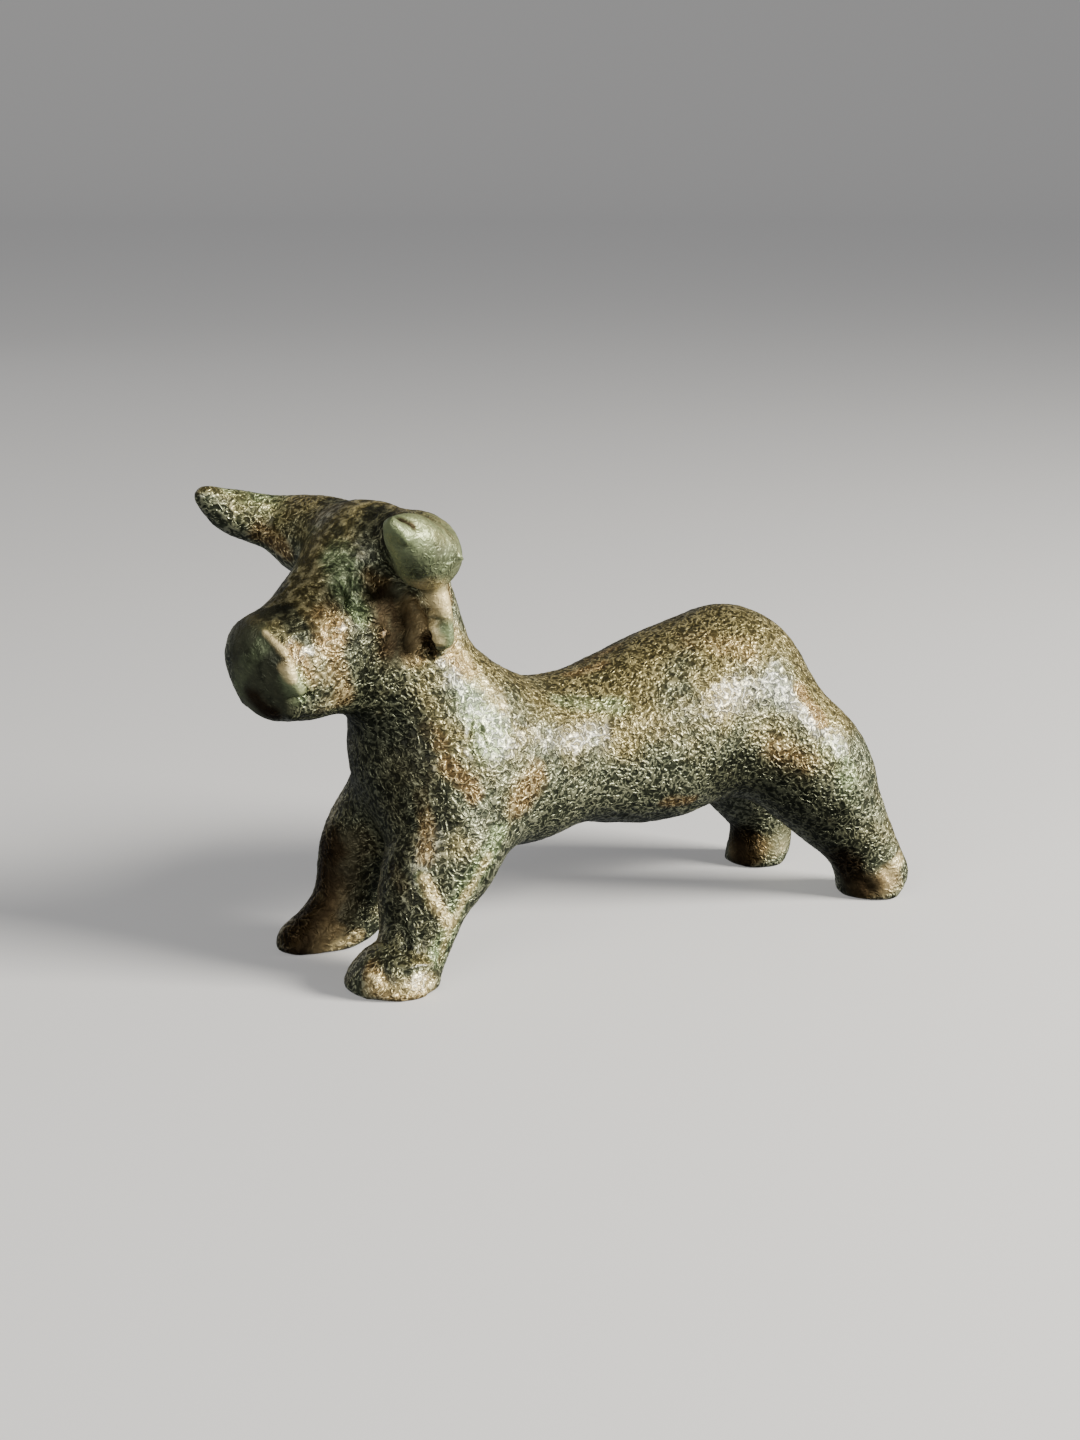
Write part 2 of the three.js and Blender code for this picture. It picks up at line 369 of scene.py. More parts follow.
class Skin:
    """The smooth skin in millimetres, and how to find a place on it."""

    def __init__(self, mesh):
        self.mesh = mesh
        self.places = vertex_places(mesh)
        self.tree = BVHTree.FromPolygons(self.places.tolist(), [tuple(f.vertices) for f in mesh.polygons])

    def seen_at(self, across, down):
        """Where a pixel of the photograph falls on the skin."""
        ahead = AHEAD * math.cos(CAMERA_DIP) - UPWARDS * math.sin(CAMERA_DIP)
        up = RIGHTWARDS.cross(ahead)
        focal = LENS / SENSOR * PHOTO_HEIGHT
        ray = ahead + RIGHTWARDS * (across - PHOTO_WIDTH / 2) / focal
        ray = ray - up * (down - PHOTO_HEIGHT / 2) / focal
        hit = self.tree.ray_cast(CAMERA_PLACE, ray)[0]
        if hit is None:
            raise ValueError(f"nothing is seen at {across}, {down}")
        return np.array(hit)

    def line(self, points):
        """A line of places from pixels, or from stations of the head in modelling units."""
        found = []
        for point in points:
            if len(point) == 2:
                found.append(self.seen_at(*point))
            else:
                x, y, z, _ = on_head([(*point, 0)])[0]
                found.append((np.array((x, y, z)) - MIDDLE) * UNIT)
        return found

    def distance(self, line):
        """Distance from every vertex to a line of places."""
        least = np.linalg.norm(self.places - line[0], axis=1)
        for a, b in zip(line, line[1:]):
            run = b - a
            t = np.clip((self.places - a) @ run / (run @ run), 0, 1)
            least = np.minimum(least, np.linalg.norm(self.places - a - t[:, None] * run, axis=1))
        return least

    def mirrored(self, line):
        """The same line on the other side of the head or the body, laid on the skin."""
        on_the_head = line[0][0] > HEAD_FROM[0] and line[0][2] > HEAD_FROM[1]
        across = turned(0, 1, 0) if on_the_head else np.array((0, 1, 0))
        pivot = (np.array((HEAD_PIVOT, 0, 0)) - MIDDLE) * UNIT
        found = []
        for place in line:
            other = place - 2 * ((place - pivot) @ across) * across
            found.append(np.array(self.tree.find_nearest(Vector(other))[0]))
        return found


# Lines that a small form and a patch, or two patches, share.
NEAR_HORN = [(33, 12, 54), (36, 14, 54), (44, 17.5, 58.5)]
FORELEG_VEIN = [(421, 877), (430, 900), (450, 925)]

# Small forms of the head. Each is a line of pixels, a width and a height in millimetres. The hidden
# side repeats them, a little fainter.
PAIRED_FORMS = {
    "eye": ([(352, 594), (351, 606), (359, 616), (368, 620)], 0.5, -0.35),
    "rim of the eye": ([(345, 594), (343, 606), (350, 619)], 0.4, 0.14),
    "crease behind the eye": ([(369, 621), (383, 631)], 0.3, -0.18),
    "hollow of the temple": ([(393, 598), (406, 622), (410, 640)], 1.8, -0.25),
    "boss of the cheek": ([(325, 630), (333, 630)], 1.1, 0.25),
    "pit in the boss": ([(327, 634), (328, 635)], 0.22, -0.35),
    "hollow of the muzzle": ([(262, 655), (264, 672), (275, 695)], 1.8, -0.22),
    "mouth": ([(292, 702), (302, 698), (312, 697)], 0.24, -0.35),
    "first knob of the chin": ([(288, 713), (293, 716)], 0.5, 0.3),
    "second knob of the chin": ([(306, 710), (310, 712)], 0.4, 0.2),
    "third knob of the chin": ([(324, 706), (328, 709)], 0.4, 0.2),
    "hollow before the ear": ([(412, 604), (420, 618), (426, 634), (432, 648)], 0.45, -0.3),
    "broad root of the ear": ([(430, 590), (433, 602)], 0.9, 0.35),
    "first tooth of the ear": ([(422, 602), (425, 606)], 0.3, 0.4),
    "second tooth of the ear": ([(429, 614), (432, 616)], 0.25, 0.3),
    "third tooth of the ear": ([(432, 626), (437, 633)], 0.45, 0.5),
    "fourth tooth of the ear": ([(436, 639), (440, 642)], 0.28, 0.4),
    "fifth tooth of the ear": ([(438, 648), (441, 650)], 0.3, 0.2),
    "upper notch of the ear": ([(427, 609), (433, 610)], 0.25, -0.35),
    "lower notch of the ear": ([(430, 620), (438, 621)], 0.28, -0.4),
    "gap under the ear": ([(440, 657), (452, 652), (460, 643)], 0.3, -0.25),
}

# Small forms that only the side in the photograph has.
SINGLE_FORMS = {
    "raised seam down the muzzle": ([(263, 632), (274, 643), (283, 653), (287, 662)], 0.26, 0.5),
    "knob at the end of the seam": ([(287, 670), (293, 682), (299, 692)], 0.55, 0.45),
    "short second seam": ([(294, 634), (285, 644)], 0.22, 0.2),
    "ridge of the near horn": ([(392, 522), (398, 530), (406, 540)], 0.35, 0.4),
    "groove behind the horn's tip": ([(401, 518), (410, 521), (418, 527)], 0.5, -0.3),
    "nib on the horn's bend": ([(458, 557), (459, 559)], 0.22, 0.35),
    "scratch on the neck": ([(473, 717), (469, 736)], 0.14, -0.16),
    "scratch over the foreleg": ([(414, 827), (435, 827)], 0.12, -0.12),
    "second scratch on the neck": ([(478, 726), (487, 750)], 0.2, -0.16),
    "scratch on the shoulder": ([(462, 746), (476, 757)], 0.2, -0.14),
    "vein down the near foreleg": (FORELEG_VEIN, 0.24, 0.22),
    "front pit above the forefoot": ([(402, 932), (408, 948)], 0.45, -0.35),
    "rear pit above the forefoot": ([(421, 940), (423, 952)], 0.35, -0.3),
    "cleft of the toe": ([(384, 972), (389, 984)], 0.35, -0.3),
    "rear knob of the forefoot": ([(408, 968), (430, 964)], 0.5, 0.28),
    "front knob of the forefoot": ([(366, 974), (374, 982)], 0.5, 0.25),
    "rim of the sole": ([(374, 992), (400, 998), (424, 993)], 0.35, 0.22),
    "lower pit in the hind foot": ([(866, 884), (872, 894)], 0.4, -0.3),
    "upper pit in the hind foot": ([(884, 868), (890, 876)], 0.35, -0.25),
}

# The height of a form on the hidden side, as a share of the near one's.
FAR_FORM_SHARE = 0.8


def sculpted(skin):
    """Height of the small forms over every vertex, in millimetres."""
    height = np.zeros(len(skin.places))
    for forms, paired in ((PAIRED_FORMS, True), (SINGLE_FORMS, False)):
        for points, width, rise in forms.values():
            line = skin.line(points)
            height += rise * np.exp(-((skin.distance(line) / width) ** 2))
            if paired:
                far_line = skin.mirrored(line)
                height += rise * FAR_FORM_SHARE * np.exp(-((skin.distance(far_line) / width) ** 2))
    return height


# Areas of the patina and of the painted shade and highlights. Each is a line of pixels, or of head
# stations in modelling units, a radius in millimetres and, where it is fainter than the rest, its strength.
PATINA_AND_PAINTED_LIGHT = {
    "bare": {
        "near horn": (NEAR_HORN, 4.2),
        "temple": ([(388, 606), (408, 626), (400, 648)], 2.4),
        "ear": ([(440, 590), (447, 640)], 2.2, 0.7),
        "front of the muzzle": ([(51, 0, 44), (52, 0, 36)], 4, 0.75),
        "seam": ([(264, 632), (275, 643), (285, 654)], 0.45),
        "hollow of the muzzle": ([(268, 650), (272, 676), (284, 706)], 1.8),
        "knob of the seam": ([(287, 669), (293, 682), (299, 692)], 0.9),
        "far foreleg": ([(345, 850), (335, 905), (312, 945)], 3, 0.7),
        "far hind foot": ([(735, 850), (782, 842)], 2.6, 0.7),
        "near hind foot": ([(852, 888), (888, 878)], 2.4, 0.7),
    },
    "green": {
        "near horn": (NEAR_HORN, 4.2),
        "eye": ([(352, 600), (362, 616)], 1.4),
        "knob of the seam": ([(291, 680), (302, 696)], 1.7),
        "far rim of the muzzle": ([(236, 690), (262, 640)], 1.8, 0.5),
        "ear": ([(446, 620), (449, 640)], 1.3),
        "brow": ([(335, 556), (345, 585)], 2),
        "neck": ([(478, 700), (492, 740)], 3),
        "above the forefoot": ([(452, 930), (438, 955)], 1.6),
        "vein of the foreleg": (FORELEG_VEIN, 0.8),
        "back of the foreleg": ([(499, 836), (468, 887), (452, 926), (441, 957)], 1.6),
        "flank": ([(560, 700), (620, 705)], 1.6, 0.7),
        # Painted sheen: a pale green along the thigh, where a reflection of the light runs.
        "painted sheen on the back of the thigh": ([(832, 750), (853, 792)], 2, 0.6),
    },
    # A pale yellowish stain that is partly painted highlight: on the seam of the muzzle, its knob and the
    # root of the ear, it stands for the light that they catch.
    "cream_and_highlight": {
        "seam": ([(266, 634), (275, 643), (285, 654)], 0.5),
        "knob of the seam": ([(286, 667), (290, 677)], 0.8),
        "jaw": ([(322, 668), (338, 684), (326, 704)], 2.1, 0.45),
        "edge of the ear": ([(433, 626), (438, 640)], 1),
        "root of the ear": ([(428, 586), (440, 604)], 2.2),
        "nape": ([(456, 640), (476, 676), (500, 700)], 1.9, 0.6),
        "forefoot": ([(372, 986), (400, 992), (430, 984)], 1.6, 0.6),
        "back of the foreleg": ([(488, 856), (466, 896), (450, 930), (441, 957)], 0.9, 0.6),
        "vein of the foreleg": ([(424, 880), (434, 902), (448, 922)], 0.9),
        "far forefoot": ([(335, 948), (360, 935)], 1),
        "far hind foot": ([(774, 838), (781, 850)], 1.3, 0.35),
        "near heel": ([(892, 868), (900, 856)], 1.2, 0.7),
    },
    "rust": {
        "behind the foreleg": ([(520, 800), (534, 780)], 2.4),
        "shoulder": ([(446, 764), (462, 778), (474, 794)], 1.3),
        "top of the foreleg": ([(420, 796), (427, 826), (424, 856)], 1.2),
        "foot of the neck": ([(428, 728), (440, 744)], 1.1),
        "front of the foreleg": ([(395, 872), (402, 884)], 1),
        "thigh": ([(774, 752), (800, 764)], 2.3, 0.8),
        "cheek": ([(324, 618), (336, 634)], 2.1),
        # Painted light: a bright brown that lifts the ear's cast shadow on the temple.
        "before the ear": ([(412, 606), (418, 630), (414, 652)], 1.9),
        "far hind foot": ([(738, 852), (754, 846)], 2),
        "side of the muzzle": ([(296, 652), (306, 684)], 1.5),
        "under the near horn": ([(374, 578), (380, 584)], 1.4),
        "root of the far horn": ([(262, 534), (285, 550)], 1.6),
        "jaw": ([(322, 640), (345, 700)], 1.6),
        "root of the ear": ([(448, 592), (450, 612)], 1.6, 0.8),
        "nape": ([(456, 655), (468, 670)], 1.6),
        "belly": ([(668, 802), (690, 800)], 1.2),
        "back": ([(572, 674), (602, 664)], 1.2),
        "top of the rump": ([(690, 640), (745, 650)], 2.4, 0.5),
        "slope of the rump": ([(800, 690), (820, 720)], 1.2),
        "far foreleg": ([(354, 845), (341, 905), (318, 943)], 3),
        "toe": ([(372, 965), (378, 985)], 1.2),
        "sole": ([(376, 992), (400, 999), (424, 995)], 0.8),
        "near hind foot": ([(862, 890), (888, 880)], 2.2),
    },
    # A deep brown stain that is partly painted shade: darkest on the temple under the horn and ear, in the
    # groove of the horn, under the ear and on the shaded far legs and near hind foot.
    "brown_and_shade": {
        "temple": ([(384, 602), (392, 625), (390, 650)], 2.7),
        "tip of the ear": ([(428, 640), (436, 652)], 0.9),
        "groove of the near horn": ([(402, 518), (414, 525)], 0.7),
        "far foreleg": ([(330, 850), (320, 900), (292, 945)], 3.2),
        "far hind leg": ([(743, 836), (745, 855)], 3),
        "near hind foot": ([(844, 862), (858, 888)], 3),
        "far side of the chin": ([(255, 700), (270, 715)], 1.6),
        "under the ear": ([(424, 640), (436, 655)], 0.9),
    },
    "mottled": {
        "forehead": ([(33, 0, 57), (39, 0, 52), (46, 0, 47)], 7),
    },
    # Painted shade: darker colour on the fronts of the chest, muzzle and legs, in the hollows of the muzzle
    # and the eye, under the throat, between the forelegs, beside the near horn and on the front of the hind
    # leg, where shade falls.
    "painted_shade": {
        "hollow of the muzzle": ([(262, 652), (268, 682), (280, 708)], 2.2),
        "front of the muzzle": ([(52, 0, 44), (53, 0, 36)], 3),
        "side of the muzzle": ([(287, 616), (302, 634)], 1.6),
        "chest": ([(355, 730), (362, 800), (368, 860)], 6),
        "between the forelegs": ([(358, 842), (368, 880), (354, 914)], 2),
        "front of the foreleg": ([(392, 836), (400, 900), (396, 950)], 2.8),
        "edge of the chest": ([(385, 738), (396, 790), (398, 822)], 3),
        "shoulder": ([(436, 792), (448, 822)], 1.5),
        "beside the vein": ([(426, 900), (430, 930)], 1.2, 0.8),
        "throat": ([(360, 642), (372, 690)], 2),
        "before the near horn": ([(376, 512), (377, 540), (383, 560)], 2),
        "side of the neck": ([(395, 700), (420, 740), (410, 800)], 2.4),
        "thigh and shin": ([(735, 772), (785, 788), (822, 820), (842, 850)], 4),
        "eye": ([(353, 606), (364, 620), (374, 634)], 1.4),
    },
}

# How full a patch is on its own line. Above 1, it stays full for some way off the line.
PATCH_FULLNESS = 1.3

# Moves the noise of the ragged edge, in millimetres, so that no two kinds share an edge.
PATCH_SHIFT = {
    "bare": (3, 0, 0),
    "green": (0, 11, 0),
    "cream_and_highlight": (0, 0, 17),
    "rust": (23, 5, 0),
    "brown_and_shade": (0, 29, 3),
    "mottled": (9, 0, 31),
    "painted_shade": (0, 19, 8),
}

# How ragged an edge is, and between which amounts it fades in. Two kinds have a sharper one.
RAGGEDNESS = 1.1
SOFT_EDGE = (0.1, 1)
SHARP_EDGES = {"bare": (0.22, 0.75), "painted_shade": (0.1, 0.75)}

# The side that the photograph doesn't show has like patches, fainter and a little displaced, in
# millimetres.
# Among them are the painted shade and the painted highlights.
FAR_SIDE_KINDS = ("green", "cream_and_highlight", "rust", "painted_shade")
FAR_SIDE_SHIFT = np.array((-2.5, 0, 1))
FAR_SIDE_SHARE = 0.85


def nearness(skin, line, radius):
    """1 near a line of places, and from there down to 0 at the radius."""
    return np.clip(PATCH_FULLNESS * (1 - skin.distance(line) / radius), 0, 1)


def paint_patina_and_light(skin):
    """Stores each kind of patina, painted shade and painted highlight as an attribute, from 0 to 1."""
    for kind, areas in PATINA_AND_PAINTED_LIGHT.items():
        amount = np.zeros(len(skin.places))
        for points, radius, *faint in areas.values():
            strength = faint[0] if faint else 1
            line = skin.line(points)
            amount = np.maximum(amount, nearness(skin, line, radius) * strength)
            if kind in FAR_SIDE_KINDS:
                far_line = [place + FAR_SIDE_SHIFT for place in skin.mirrored(line)]
                far_amount = nearness(skin, far_line, radius) * strength * FAR_SIDE_SHARE
                amount = np.maximum(amount, far_amount)
        layer = skin.mesh.attributes.new(name=kind, type="FLOAT", domain="POINT")
        layer.data.foreach_set("value", amount)


class Value:
    """A number that varies over the surface. Arithmetic on it adds Math nodes."""

    def __init__(self, maker, socket):
        self.maker = maker
        self.socket = socket

    def math(self, operation, *values):
        made = self.maker.node("ShaderNodeMath", {"operation": operation}, dict(enumerate(values)))
        return Value(self.maker, made.outputs[0])

    def __add__(self, other):
        return self.math("ADD", self, other)

    def __sub__(self, other):
        return self.math("SUBTRACT", self, other)

    def __rsub__(self, other):
        return self.math("SUBTRACT", other, self)

    def __mul__(self, other):
        return self.math("MULTIPLY", self, other)

    __radd__ = __add__
    __rmul__ = __mul__

    def size(self):
        return self.math("ABSOLUTE", self)

    def or_more(self, other):
        return self.math("MAXIMUM", self, other)

    def between(self, low, high):
        """0 below the low value and 1 above the high one, with a smooth step from one to the other."""
        inputs = {"Value": self, "From Min": low, "From Max": high}
        made = self.maker.node("ShaderNodeMapRange", {"interpolation_type": "SMOOTHSTEP"}, inputs)
        return Value(self.maker, made.outputs["Result"])


class Maker:
    """Adds nodes to one tree: the material's, or the relief's."""

    def __init__(self, tree):
        self.tree = tree

    def node(self, kind, settings=None, inputs=None):
        made = self.tree.nodes.new(kind)
        for name, value in (settings or {}).items():
            setattr(made, name, value)
        for name, value in (inputs or {}).items():
            self.feed(made.inputs[name], value)
        return made

    def feed(self, socket, value):
        if isinstance(value, Value):
            value = value.socket
        if isinstance(value, bpy.types.NodeSocket):
            self.tree.links.new(value, socket)
        elif isinstance(value, tuple) and socket.type == "RGBA":
            socket.default_value = (*value, 1)
        else:
            socket.default_value = value

    def scaled(self, vector, scale):
        made = self.node("ShaderNodeVectorMath", {"operation": "SCALE"}, {0: vector, "Scale": scale})
        return made.outputs[0]

    def moved(self, vector, offset):
        return self.node("ShaderNodeVectorMath", {"operation": "ADD"}, {0: vector, 1: offset}).outputs[0]

    def noise(self, place, size, detail=2.0, distortion=0.0, roughness=0.5):
        """Cloudy noise from 0 to 1, with lumps of the given size in millimetres."""
        inputs = {
            "Vector": place,
            "Scale": 1 / size,
            "Detail": detail,
            "Roughness": roughness,
            "Distortion": distortion,
        }
        return Value(self, self.node("ShaderNodeTexNoise", inputs=inputs).outputs[0])

    def mix(self, amount, first, second):
        """A colour between two colours."""
        inputs = {0: amount, 6: first, 7: second}
        return self.node("ShaderNodeMix", {"data_type": "RGBA"}, inputs).outputs[2]


def crest_line(noise, level, sharpness):
    """1 where a noise crosses the level, and down to 0 on both sides of it."""
    return 1 - ((noise - level).size() * sharpness).between(0, 1)


def crust(maker, place, size):
    """Worm-like crests of the corroded skin, so far apart: 0 in the hollows and 1 along the crests."""
    wandering = maker.noise(place, size, detail=0.5, distortion=0.5)
    crossing = maker.noise(maker.moved(place, (31, 17, 5)), size * 0.8, detail=0.5, distortion=0.4)
    worms = crest_line(wandering, level=0.5, sharpness=6)
    short_worms = crest_line(crossing, level=0.48, sharpness=5.5)
    breaks = maker.noise(maker.moved(place, (7, 3, 29)), size * 0.7, detail=1.0).between(0.38, 0.58)
    return (worms * (0.2 + breaks * 0.8)).or_more(short_worms * (1 - breaks * 0.8))


# Relief of the corroded skin, in millimetres: how wide its pits and lumps are, and how high it rises.
PIT_WIDTH, LUMP_WIDTH = 0.7, 4.5
CRUST_RISE, PIT_RISE, LUMP_RISE = 0.05, 0.06, 0.4

# The level of the crust that stays on the smooth skin, and how much of it a bare place loses.
CRUST_LEVEL = 0.4
BARE_LOSS = 0.85

# The relief begins and is full at these heights above the ground, so that the soles stay flat.
RELIEF_HEIGHTS = (0.15, 0.6)


def corroded(piece):
    """Raises the crust as a relief in the mesh, away from the bare places and the soles."""
    tree = bpy.data.node_groups.new("corroded relief", "GeometryNodeTree")
    tree.interface.new_socket("Geometry", in_out="INPUT", socket_type="NodeSocketGeometry")
    tree.interface.new_socket("Geometry", in_out="OUTPUT", socket_type="NodeSocketGeometry")
    maker = Maker(tree)
    entry = maker.node("NodeGroupInput")
    position = maker.node("GeometryNodeInputPosition").outputs[0]
    place = maker.scaled(position, 1 / MM)
    bare = maker.node("GeometryNodeInputNamedAttribute", {"data_type": "FLOAT"}, {"Name": "bare"})
    bare = Value(maker, bare.outputs[0])
    height = Value(maker, maker.node("ShaderNodeSeparateXYZ", inputs={0: place}).outputs[2])
    pitted = maker.noise(place, PIT_WIDTH, detail=2.0) - 0.5
    lumps = maker.noise(place, LUMP_WIDTH, detail=1.0) - 0.5
    crusted = (crust(maker, place, COARSE_CRUST) - CRUST_LEVEL) * (1 - bare * BARE_LOSS)
    rise = crusted * CRUST_RISE + pitted * PIT_RISE + lumps * LUMP_RISE
    rise = rise * height.between(*RELIEF_HEIGHTS) * MM
    normal = maker.node("GeometryNodeInputNormal").outputs[0]
    offset = maker.scaled(normal, rise)
    moved = maker.node("GeometryNodeSetPosition", inputs={"Geometry": entry.outputs[0], "Offset": offset})
    maker.node("NodeGroupOutput", inputs={0: moved.outputs[0]})
    applied(piece, "NODES", node_group=tree)


def photo_camera():
    camera = bpy.data.cameras.new("photo_camera")
    camera.lens = LENS
    camera.sensor_width = SENSOR
    camera.clip_start = 0.01
    viewer = bpy.data.objects.new("photo_camera", camera)
    viewer.location = CAMERA_PLACE * MM
    viewer.rotation_euler = (math.pi / 2 - CAMERA_DIP, 0, CAMERA_TURN)
    bpy.context.scene.collection.objects.link(viewer)
    bpy.context.scene.camera = viewer


# The floor, in metres: how far it lies flat, the radius of its bend, and how far out past the bend's
# start and how high the backdrop ends.
FLOOR_REACH, FLOOR_BEND, BACKDROP_LEAN, BACKDROP_HEIGHT = 1.6, 0.5, 0.6, 2
FLOOR_BEND_TURN = math.radians(80)
FLOOR_BEND_STEPS, FLOOR_ROUND_STEPS = 12, 64

# It lies this much below the soles, in metres, so that it never cuts them.
FLOOR_DROP = 0.00002
FLOOR_COLOUR = (0.62, 0.61, 0.6, 1)

# A faint glow that keeps the floor pale far from the lamps. No light from it reaches the figure.
FLOOR_GLOW = 0.3


def floor_mesh():
    """A floor that curves up far away into a plain backdrop, spun from its profile."""
    same_place = 0.0001
    made = bmesh.new()
    profile = [made.verts.new((0, 0, 0)), made.verts.new((FLOOR_REACH, 0, 0))]
    for step in range(1, FLOOR_BEND_STEPS + 1):
        turn = FLOOR_BEND_TURN * step / FLOOR_BEND_STEPS
        place = (FLOOR_REACH + FLOOR_BEND * math.sin(turn), 0, FLOOR_BEND * (1 - math.cos(turn)))
        profile.append(made.verts.new(place))
    profile.append(made.verts.new((FLOOR_REACH + BACKDROP_LEAN, 0, BACKDROP_HEIGHT)))
    edges = [made.edges.new(pair) for pair in zip(profile, profile[1:])]
    bmesh.ops.spin(
        made,
        geom=profile + edges,
        cent=(0, 0, 0),
        axis=(0, 0, 1),
        angle=math.tau,
        steps=FLOOR_ROUND_STEPS,
        use_merge=True,
    )
    bmesh.ops.remove_doubles(made, verts=made.verts, dist=same_place)
    bmesh.ops.recalc_face_normals(made, faces=made.faces)
    mesh = bpy.data.meshes.new("floor")
    made.to_mesh(mesh)
    made.free()
    mesh.polygons.foreach_set("use_smooth", [True] * len(mesh.polygons))
    return mesh


def pale_paint():
    paint = bpy.data.materials.new("pale floor")
    paint.use_nodes = True
    shader = paint.node_tree.nodes["Principled BSDF"]
    shader.inputs["Base Color"].default_value = FLOOR_COLOUR
    shader.inputs["Roughness"].default_value = 0.7
    shader.inputs["Emission Color"].default_value = FLOOR_COLOUR
    shader.inputs["Emission Strength"].default_value = FLOOR_GLOW
    return paint


def floor():
    """The pale floor. It lights nothing and shows in no reflection."""
    ground = bpy.data.objects.new("floor", floor_mesh())
    ground.location.z = -FLOOR_DROP
    bpy.context.scene.collection.objects.link(ground)
    ground.data.materials.append(pale_paint())
    ground.visible_diffuse = False
    ground.visible_glossy = False


# The soft boxes: a key from the viewer's right and above, a weak fill and a weak light from behind.
# Each has a place to the right, towards the viewer and up, and a width and height, all in metres,
# then its power in watts and its colour.
LIGHTS = {
    "key": ((0.4, 0.11, 0.19), (0.2, 0.12), 7.2, (1, 0.97, 0.9)),
    "fill": ((-0.25, 0.5, 0.2), (0.4, 0.4), 1.8, (1, 1, 1)),
    "rim": ((-0.38, -0.38, 0.14), (0.4, 0.3), 0.15, (1, 1, 1)),
}
LIGHTS_AIM = Vector((0, 0, 0.018))

# The dim, slightly blue light from all around.
ROOM_COLOUR = (0.9, 0.93, 1, 1)
ROOM_STRENGTH = 0.13


def soft_light(name, place, size, power, colour):
    """A soft box aimed at the middle of the figure."""
    lamp = bpy.data.lights.new(name, "AREA")
    lamp.shape = "RECTANGLE"
    lamp.size, lamp.size_y = size
    lamp.energy = power
    lamp.color = colour
    holder = bpy.data.objects.new(name, lamp)
    holder.location = place
    aim = LIGHTS_AIM - holder.location
    holder.rotation_euler = aim.to_track_quat("-Z", "Y").to_euler()
    bpy.context.scene.collection.objects.link(holder)


def studio():
    """The soft boxes and the dim light of the room."""
    for name, (place, size, power, colour) in LIGHTS.items():
        to_the_right, nearer, higher = place
        place = RIGHTWARDS * to_the_right - AHEAD * nearer + UPWARDS * higher
        soft_light(name, place, size, power, colour)
    world = bpy.data.worlds.new("studio")
    world.use_nodes = True
    world.node_tree.nodes["Background"].inputs["Color"].default_value = ROOM_COLOUR
    world.node_tree.nodes["Background"].inputs["Strength"].default_value = ROOM_STRENGTH
    bpy.context.scene.world = world


# Colours of the unstained metal in its hollows, between them and on its crests. The first of each
# pair is grey-green, and the second, on faces that look up and in drifts, is golden.
METAL_HOLLOW = ((0.034, 0.038, 0.023), (0.06, 0.05, 0.019))
METAL_MIDDLE = ((0.065, 0.074, 0.042), (0.12, 0.098, 0.034))
METAL_CREST = ((0.31, 0.32, 0.19), (0.42, 0.35, 0.15))

# The stains and the painted shade and highlights, of which a later one covers an earlier one: how
# strong each is, and its colours in the hollows, between them and on the crests.
STAINS_AND_PAINTED_LIGHT = {
    "rust": (0.7, (0.085, 0.05, 0.018), (0.25, 0.155, 0.055), (0.6, 0.43, 0.2)),
    # Painted shade: the near-black colours of the places where shade falls.
    "painted_shade": (0.85, (0.008, 0.009, 0.005), (0.022, 0.024, 0.013), (0.095, 0.1, 0.055)),
    "green": (0.8, (0.035, 0.05, 0.022), (0.17, 0.22, 0.1), (0.46, 0.54, 0.28)),
    # Brown stain and painted shade: very deep brown colours.
    "brown_and_shade": (0.95, (0.009, 0.006, 0.003), (0.019, 0.011, 0.005), (0.055, 0.034, 0.015)),
    # Pale stain and painted highlight: light yellowish colours.
    "cream_and_highlight": (0.8, (0.2, 0.15, 0.06), (0.66, 0.51, 0.23), (0.95, 0.78, 0.41)),
}

# How wide the lumps of each pattern of the patina are, in millimetres, and how deep its bump is.
EDGE_WIDTH, GRAIN_WIDTH, TINT_WIDTH, CLOUD_WIDTH, DRIFT_WIDTH = 1.6, 0.4, 1.8, 0.7, 5
BUMP_DEPTH = 0.16


def patch(maker, place, kind):
    """A painted area of the patina or of the painted shade and highlights, with a ragged edge."""
    amount = Value(maker, maker.node("ShaderNodeAttribute", {"attribute_name": kind}).outputs["Fac"])
    edge_place = maker.moved(place, PATCH_SHIFT[kind])
    ragged = maker.noise(edge_place, EDGE_WIDTH, detail=4.0, roughness=0.6)
    return (amount + (ragged - 0.5) * RAGGEDNESS).between(*SHARP_EDGES.get(kind, SOFT_EDGE))


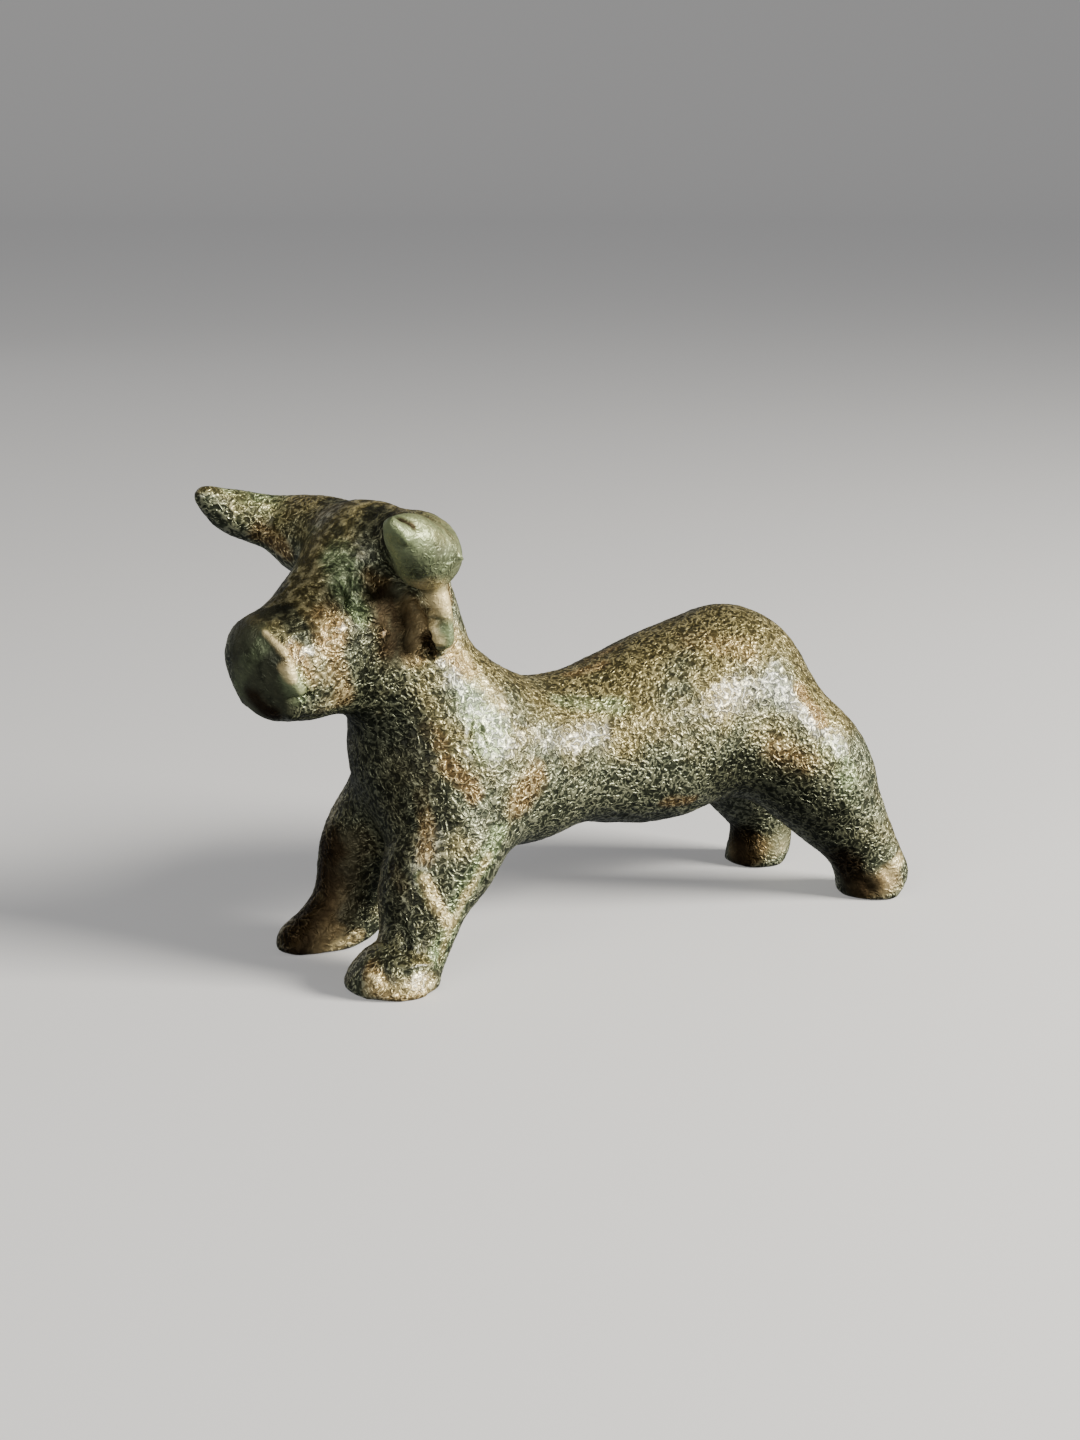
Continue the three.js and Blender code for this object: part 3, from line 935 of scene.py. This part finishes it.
def patinated_bronze():
    """Pale worm-like crust over deep-toned metal, with bare and cloudy places, stains, painted shade and
    painted highlights.
    """
    bronze = bpy.data.materials.new("patinated bronze")
    bronze.use_nodes = True
    maker = Maker(bronze.node_tree)
    shader = bronze.node_tree.nodes["Principled BSDF"]
    place = maker.scaled(maker.node("ShaderNodeTexCoord").outputs["Object"], 1 / MM)

    patches = {kind: patch(maker, place, kind) for kind in PATCH_SHIFT}
    bare, mottled = patches["bare"], patches["mottled"]
    # The near-black kind is painted shade, the brown one a stain that is partly painted shade, and the pale
    # one a stain that is partly painted highlight.
    brown_and_shade, rust, painted_shade, cream_and_highlight = (patches[kind] for kind in ("brown_and_shade", "rust", "painted_shade", "cream_and_highlight"))
    grain = maker.noise(place, GRAIN_WIDTH, detail=2.0)
    drift = maker.noise(place, DRIFT_WIDTH, detail=4.0)
    tint = maker.noise(maker.moved(place, (5, 41, 2)), TINT_WIDTH, detail=2.0)
    facing = maker.node("ShaderNodeSeparateXYZ", inputs={0: maker.node("ShaderNodeNewGeometry").outputs[1]})
    golden = (Value(maker, facing.outputs[2]) * 0.6 + drift * 1.6).between(0.7, 1.3)

    # Fine and coarse worms, softened into clouds where it is mottled, and fainter where it is bare.
    crests = crust(maker, place, FINE_CRUST) * 0.65 + crust(maker, place, COARSE_CRUST) * 0.2
    clouds = maker.noise(maker.moved(place, (13, 2, 37)), CLOUD_WIDTH, detail=3.0).between(0.35, 0.7)
    crests = crests * (1 - mottled * 0.7) + clouds * mottled * 0.6
    crests = (crests + (grain - 0.5) * 0.45 + (tint - 0.5) * 0.5) * (1 - bare * 0.7)
    low = crests.between(-0.05, 0.35)
    high = crests.between(0.3, 0.75)

    hollow = maker.mix(golden, *METAL_HOLLOW)
    middle = maker.mix(golden, *METAL_MIDDLE)
    crest = maker.mix(golden, *METAL_CREST)
    for kind, (strength, hollow_stain, middle_stain, crest_stain) in STAINS_AND_PAINTED_LIGHT.items():
        hollow = maker.mix(patches[kind] * strength, hollow, hollow_stain)
        middle = maker.mix(patches[kind] * strength, middle, middle_stain)
        crest = maker.mix(patches[kind] * strength, crest, crest_stain)
    corroded_colour = maker.mix(high, maker.mix(low, hollow, middle), crest)
    bare_tone = (tint.between(0.25, 0.75) * 0.5 + grain * 0.5) * 0.9 + 0.08
    bare_colour = maker.mix(bare_tone, middle, crest)
    maker.feed(shader.inputs["Base Color"], maker.mix(bare * 0.75, corroded_colour, bare_colour))

    # The crests are worn smooth and glossy. Most stains and the painted shade are duller, and the pale
    # stain, partly painted highlight, is less metallic.
    maker.feed(shader.inputs["Roughness"], 0.48 - high * 0.18 + (grain - 0.5) * 0.25 + brown_and_shade * 0.15)
    maker.feed(shader.inputs["Metallic"], 0.75 - high * 0.25 - cream_and_highlight * 0.3 - bare * 0.2 + brown_and_shade * 0.35)
    gloss = high * 0.7 + 0.12
    # The coat is thinner under the stains and under the painted shade and highlights.
    clear_of_stains_and_shade = 1 - brown_and_shade * 0.8 - rust * 0.8 - painted_shade * 0.8 - cream_and_highlight * 0.6
    maker.feed(shader.inputs["Coat Weight"], gloss * clear_of_stains_and_shade)
    shader.inputs["Coat Roughness"].default_value = 0.3
    shader.inputs["IOR"].default_value = 1.45
    bump_inputs = {"Strength": 1, "Distance": BUMP_DEPTH * MM, "Height": crests}
    bump = maker.node("ShaderNodeBump", inputs=bump_inputs)
    maker.feed(shader.inputs["Normal"], bump.outputs[0])
    return bronze


def cast_bull():
    """The wax figure with its small forms, painted, brought to metres and given its corroded skin."""
    bull = wax_figure()
    skin = Skin(bull.data)
    paint_patina_and_light(skin)
    raised = skin.places + vertex_normals(bull.data) * sculpted(skin)[:, None]
    raised[:, 2] = np.maximum(raised[:, 2], 0)
    set_vertex_places(bull.data, raised * MM)
    corroded(bull)
    bull.data.polygons.foreach_set("use_smooth", [True] * len(bull.data.polygons))
    bull.data.materials.clear()
    bull.data.materials.append(patinated_bronze())
    print("bull has", len(bull.data.polygons), "faces")
    return bull


bull = cast_bull()
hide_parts("bull_figurine")
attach(bull, "root")

floor()
studio()
photo_camera()
